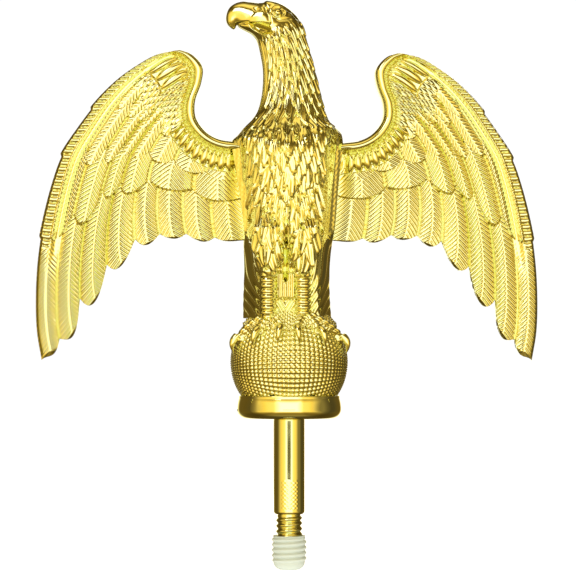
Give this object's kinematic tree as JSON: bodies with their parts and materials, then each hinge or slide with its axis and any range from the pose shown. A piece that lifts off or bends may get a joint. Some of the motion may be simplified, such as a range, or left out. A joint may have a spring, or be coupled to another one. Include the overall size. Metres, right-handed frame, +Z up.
{
  "type": "flagpole eagle topper",
  "caption": "Gold spread-eagle ornament for the top of a flagpole, on a beaded globe, with a base cup, a screwed stem and a removable thread adaptor.",
  "frame": {"origin": "centre of the flat underside of the base cup, which rests on the pole's end", "axes": "+Z up along the stem towards the head, -Y the way the breast faces, the head is turned to -X"},
  "size_m": [0.184, 0.0432, 0.2075],
  "materials": {
    "gold": "polystyrene, vacuum-metallised in bright gold under clear lacquer",
    "nut_steel": "bright zinc plate",
    "white_nylon": "natural moulded nylon, slightly translucent"
  },
  "bodies": {
    "eagle": {"body_front_shell": "gold", "body_back_shell": "gold", "wing_left_front_shell": "gold", "wing_left_back_shell": "gold", "wing_right_front_shell": "gold", "wing_right_back_shell": "gold", "globe_front_shell": "gold", "globe_back_shell": "gold", "base_cup": "gold", "captive_nut": "nut_steel"},
    "stem": {"stem": "gold"},
    "adaptor": {"thread_adaptor": "white_nylon"}
  },
  "joints": [
    {"name": "stem_turn", "type": "hinge", "parent": "eagle", "child": "stem", "pos_m": [0, 0, 0], "axis": [0, 0, -1], "range_deg": [0, 1890]},
    {"name": "adaptor_off", "type": "slide", "parent": "stem", "child": "adaptor", "axis": [0, 0, -1], "range_m": [0, 0.012]}
  ]
}
